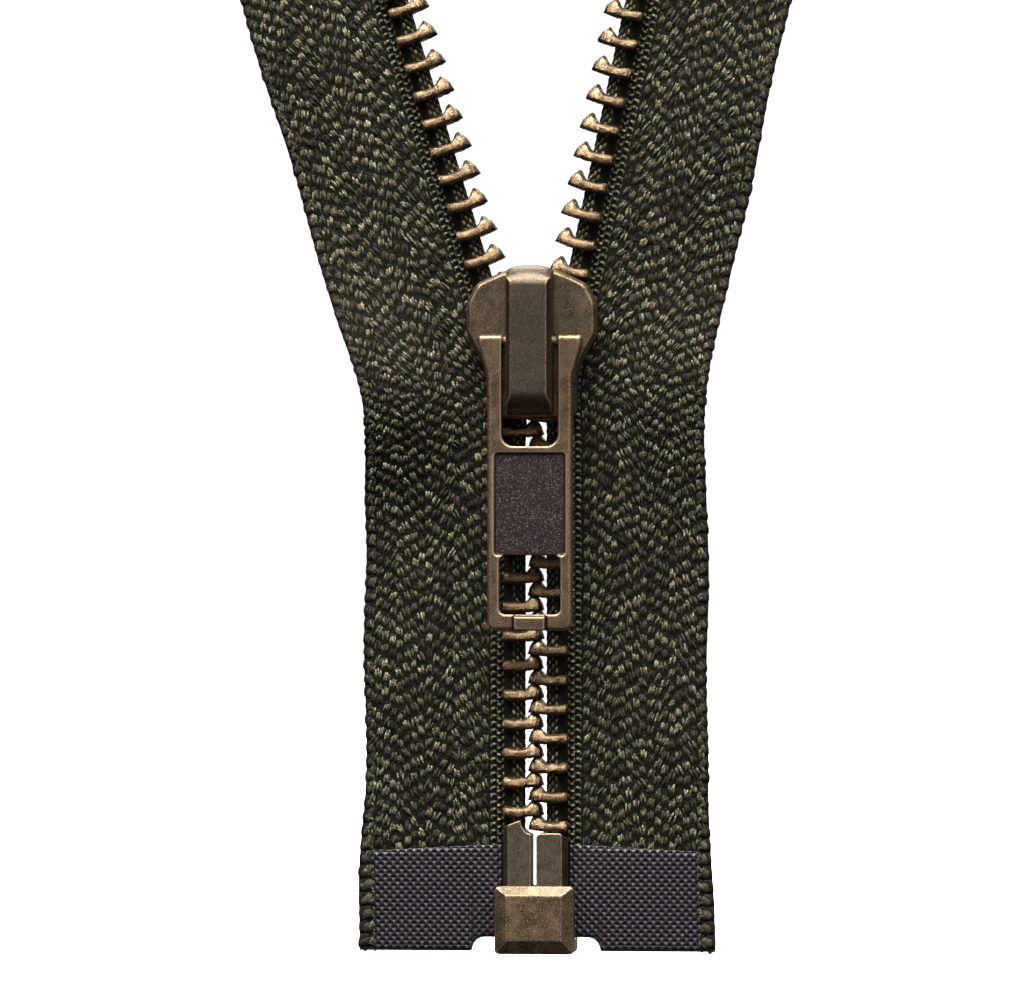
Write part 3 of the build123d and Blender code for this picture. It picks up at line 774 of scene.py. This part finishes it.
def cord(name, part, start, end):
    """Three twisted strands inside the bead."""
    t = np.linspace(start, end, int((end - start) / STRAND_STEP) + 1)[:, None]
    phi = np.linspace(0, 2 * math.pi, STRAND_SIDES, endpoint=False)[None, :]
    level = np.zeros((len(t), STRAND_SIDES))
    points, faces, line = [], [], []
    for strand in range(3):
        turn = t * STRAND_TWIST + strand * 2 * math.pi / 3
        s = STRAND_OUT * np.cos(turn) + STRAND_R * np.cos(phi)
        y = STRAND_OUT * np.sin(turn) + STRAND_R * np.sin(phi)
        size = len(t) * STRAND_SIDES
        first = strand * size
        faces += grid(len(t), STRAND_SIDES, wrap=True, start=first)
        faces.append([first + k for k in reversed(range(STRAND_SIDES))])
        faces.append([first + size - STRAND_SIDES + k for k in range(STRAND_SIDES)])
        points.append(place(name, s, y, t + level).reshape(-1, 3))
        along_strand = np.stack([t + level, phi * STRAND_R + level, strand + level], -1)
        line.append(along_strand.reshape(-1, 3))
    faces = turned_over(faces, SIDES[name] > 0)
    count = sum(len(p) for p in points)
    # crown 0.8: the strands get the lit colour and the painted highlight evenly along them
    return make(f"{name}_cord_{part}_strands", np.concatenate(points), faces, CORD.material,
                yarn=np.concatenate(line), crown=np.full(count, 0.8), tone=np.full(count, 0.5))


def tape(name, part, start, end, replaced):
    """One stretch of tape: its ground, its floats and the cord in its bead, drawn bent softly
    round the tape's pivot."""
    ground = cloth(name, part, start, end)
    low = start + (BARE_FOOT if part == "lower" else 0.0)
    high = end - (BARE_END if part == "upper" else 0.0)
    groups = woven(name, low, high, -1) + woven(name, low, high, 1)
    groups += bead_floats(name, low, high) + selvedge_floats(name, low, high)
    count = sum(g[4] for g in groups)
    floats = make(
        f"{name}_tape_{part}_yarn", np.concatenate([g[0] for g in groups]),
        yarn_faces(count, SIDES[name] > 0), YARN.material,
        yarn=np.concatenate([g[1] for g in groups]),
        crown=np.concatenate([g[2] for g in groups]),
        tone=np.concatenate([g[3] for g in groups]))
    inner = cord(name, part, max(start, NOTCH_TOP + 0.1), end + (0.15 if part == "upper" else 0))
    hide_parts(*[f"{name}_tape_{r}" for r in replaced])
    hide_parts(*[f"{name}_cord_{r}" for r in replaced])
    for piece, slot in ((ground, "tape"), (floats, "tape"), (inner, "cord")):
        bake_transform(piece)


# ---------------------------------------------------------------- films
FILM_INNER, FILM_OUTER = 3.0 - BEAD_X, 14.3 - BEAD_X
FILM_COLUMNS, FILM_ROWS = 237, 194
PIT_ACROSS, PIT_UP = 0.71, 0.73   # from pit to pit
PIT_DEPTH = 0.10
FILM_FACE, FILM_BACK = 0.385, 0.20   # from the tape's middle


def film(name, face):
    """A pressed film: diamond pits in staggered rows, between raised diagonal ridges."""
    node = f"{name}_film_{'front' if face < 0 else 'back'}"
    s = np.linspace(FILM_INNER, FILM_OUTER, FILM_COLUMNS)[None, :]
    share = np.linspace(0, 1, FILM_ROWS)[:, None]
    across = (s - FILM_INNER) / (FILM_OUTER - FILM_INNER)
    top = FILM_TOP + 0.28 - 0.6 * across + 0.03 * np.sin(s * 5)
    low = notch_height(s) + 0.05 + 0.04 * np.sin(s * 7.1) * (s > NOTCH_EDGE)
    t = low + share * (top - low)
    u, v = s / PIT_ACROSS + 0 * t, t / PIT_UP
    even = np.abs(u - np.round(u)) + np.abs(v - np.round(v))
    odd = np.abs(u - np.floor(u) - 0.5) + np.abs(v - np.floor(v) - 0.5)
    near = np.minimum(even, odd)
    pit = 1 - np.clip((near - 0.12) / 0.28, 0, 1)
    rim = smooth(0, 0.5, s - FILM_INNER) * smooth(0, 0.4, FILM_OUTER - s)
    rim = rim * smooth(0, 0.35, t - low) * smooth(0, 0.35, top - t)
    face_y = FILM_FACE - PIT_DEPTH * pit - 0.07 * (1 - rim)
    outerside = place(name, s + 0 * t, face * face_y, t)
    innerside = place(name, s + 0 * t, face * FILM_BACK + 0 * t, t)
    rows, columns = t.shape
    size = rows * columns
    loop = list(range(columns))
    loop += [r * columns + columns - 1 for r in range(1, rows)]
    loop += [(rows - 1) * columns + k for k in range(columns - 2, -1, -1)]
    loop += [r * columns for r in range(rows - 2, 0, -1)]
    skirt = innerside.reshape(-1, 3)[loop]
    faces = grid(rows, columns)
    n = len(loop)
    faces += [[loop[(k + 1) % n], loop[k], size + k, size + (k + 1) % n] for k in range(n)]
    faces.append([size + k for k in range(n)][::-1])
    faces = turned_over(faces, face * SIDES[name] > 0)
    # painted highlight mask: 1 on the ridges, 0 in the pits
    ridge = np.concatenate([smooth(0.36, 0.5, near).ravel(), np.zeros(n)])
    obj = make(f"{node}_pressed", np.concatenate([outerside.reshape(-1, 3), skirt]), faces,
               FILM.material, ridge=ridge)
    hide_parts(node)
    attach(obj, "root")


# ---------------------------------------------------------------- assembly
def build():
    """Every piece of the zipper; the locking pawl and its spring keep their CAD shapes."""
    for node, material, slot, voxel, rounds, shape in (
        ("retaining_box", BOX_METAL, "box_brass", 0.06, 8, None),
        ("retaining_pin", PIN_METAL, "pin_brass", 0.06, 6, None),
        ("insertion_pin", PIN_METAL, "pin_brass", 0.06, 6, None),
        ("slider_body", SLIDER_METAL, "slider_brass", 0.075, 8, full_shoulders),
        ("slider_crown", CROWN_METAL, "slider_brass", 0.06, 14, round_crown),
        ("left_top_stop", TOOTH_METAL, "teeth_brass", 0.06, 6, None),
        ("right_top_stop", TOOTH_METAL, "teeth_brass", 0.06, 6, None),
    ):
        obj, _ = cast(node, material, voxel, rounds, shape)
        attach(obj, body_of(node))
    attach(pull_tab(), "pull")
    for node in ("lock_pawl", "lock_spring"):
        frame["nodes"][node].data.materials.clear()
        frame["nodes"][node].data.materials.append(STEEL.material)
    for name in SIDES:
        bottom, top = (corner.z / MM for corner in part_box(f"{name}_teeth_lower"))
        first = bottom + BAR / 2
        lower = round((top - first) / PITCH - 0.45) + 1
        teeth(name, "lower", first, lower)
        teeth(name, "arm", first + PITCH * lower, ARM_TEETH)
        teeth(name, "tip", first + PITCH * (lower + ARM_TEETH), TIP_TEETH)
        split, end = PIVOT[name] + SPLIT, PIVOT[name] + TAPE_END
        tape(name, "lower", TAPE_BOTTOM, split, ("lower", "arm"))
        tape(name, "upper", split, end, ("tip",))
        for face in (-1, 1):
            film(name, face)


# ---------------------------------------------------------------- studio, in metres
ROOM_RADIUS, ROOM_HEIGHT, ROOM_SIDES = 3.5, 8, 48
FLOOR_DROP = 0.0003         # the floor lies this far under the zipper


def studio():
    """Soft light from above, in front and behind, in a plain pale round room."""
    world = bpy.data.worlds.new("studio")
    bpy.context.scene.world = world
    world.use_nodes = True
    tree = world.node_tree
    back = tree.nodes["Background"]
    where = tree.nodes.new("ShaderNodeTexCoord").outputs["Generated"]
    split = tree.nodes.new("ShaderNodeSeparateXYZ")
    ramp = tree.nodes.new("ShaderNodeValToRGB")
    tree.links.new(where, split.inputs[0])
    half = tree.nodes.new("ShaderNodeMath")
    half.operation = "MULTIPLY_ADD"
    half.inputs[1].default_value = half.inputs[2].default_value = 0.5
    tree.links.new(split.outputs["Z"], half.inputs[0])
    tree.links.new(half.outputs[0], ramp.inputs["Fac"])
    tree.links.new(ramp.outputs["Color"], back.inputs["Color"])
    stops = ramp.color_ramp.elements
    stops[0].color = (0.04, 0.04, 0.04, 1)
    stops[-1].color = (0.25, 0.25, 0.26, 1)
    for position, level in ((0.48, 0.10), (0.60, 0.15)):
        stops.new(position).color = (level, level, level, 1)
    back.inputs["Strength"].default_value = 1.0

    angles = np.linspace(0, 2 * math.pi, ROOM_SIDES + 1)[:-1]
    ring = [(ROOM_RADIUS * math.cos(a), ROOM_RADIUS * math.sin(a)) for a in angles]
    wall = [(x, y, z) for z in (0, ROOM_HEIGHT) for x, y in ring]
    for name, points, faces, glow in (
        ("floor", [(x, y, 0) for x, y in ring], [list(range(ROOM_SIDES))], 0.85),
        ("backdrop", wall, grid(2, ROOM_SIDES, wrap=True), 1.0),
    ):
        mesh = bpy.data.meshes.new(name)
        mesh.from_pydata(points, [], faces)
        stage = bpy.data.objects.new(name, mesh)
        stage.location.z = -FLOOR_DROP
        bpy.context.scene.collection.objects.link(stage)
        pale = Shader(f"pale_{name}", Roughness=0.9)
        pale.colour(pale.mix(pale.noise(0.02, 2.0), (0.90, 0.90, 0.90), (0.93, 0.93, 0.93)))
        pale.bsdf.inputs["Emission Color"].default_value = (1, 1, 1, 1)
        pale.bsdf.inputs["Emission Strength"].default_value = glow
        mesh.materials.append(pale.material)
        stage.visible_diffuse = stage.visible_glossy = stage.visible_shadow = False

    aim = Vector((0, 0, 0.045))
    for name, spot, size, power in (
        ("key", (-0.08, -0.26, 0.56), (0.30, 0.20), 3.8),
        ("softbox", (-0.04, -0.32, 0.58), (1.20, 0.26), 8.5),
        ("fill", (0.10, -1.10, 0.22), (1.00, 0.90), 1.9),
        ("rear", (0.10, 0.36, 0.54), (1.00, 0.26), 7.0),
        ("rear_fill", (-0.10, 1.10, 0.22), (1.00, 0.90), 1.8),
    ):
        data = bpy.data.lights.new(name, "AREA")
        data.shape = "RECTANGLE"
        (data.size, data.size_y), data.energy = size, power
        lamp = bpy.data.objects.new(name, data)
        lamp.location = spot
        lamp.rotation_euler = (aim - lamp.location).to_track_quat("-Z", "Y").to_euler()
        bpy.context.scene.collection.objects.link(lamp)


def camera():
    """A long lens at the photo's angle, a little right of square on."""
    data = bpy.data.cameras.new("camera")
    cam = bpy.data.objects.new("camera", data)
    bpy.context.scene.collection.objects.link(cam)
    azimuth, distance, width = math.radians(5.5), 0.70, 0.08904
    target = Vector((-0.00211, 0, 0.04022))
    away = Vector((math.sin(azimuth), -math.cos(azimuth), 0))
    cam.location = target + away * distance
    cam.rotation_euler = (-away).to_track_quat("-Z", "Y").to_euler()
    data.sensor_width = 36.0
    data.lens = data.sensor_width * distance / width
    data.clip_start, data.clip_end = 0.05, 30.0
    bpy.context.scene.camera = cam
    bpy.context.scene.view_settings.view_transform = "Standard"


build()
studio()
camera()
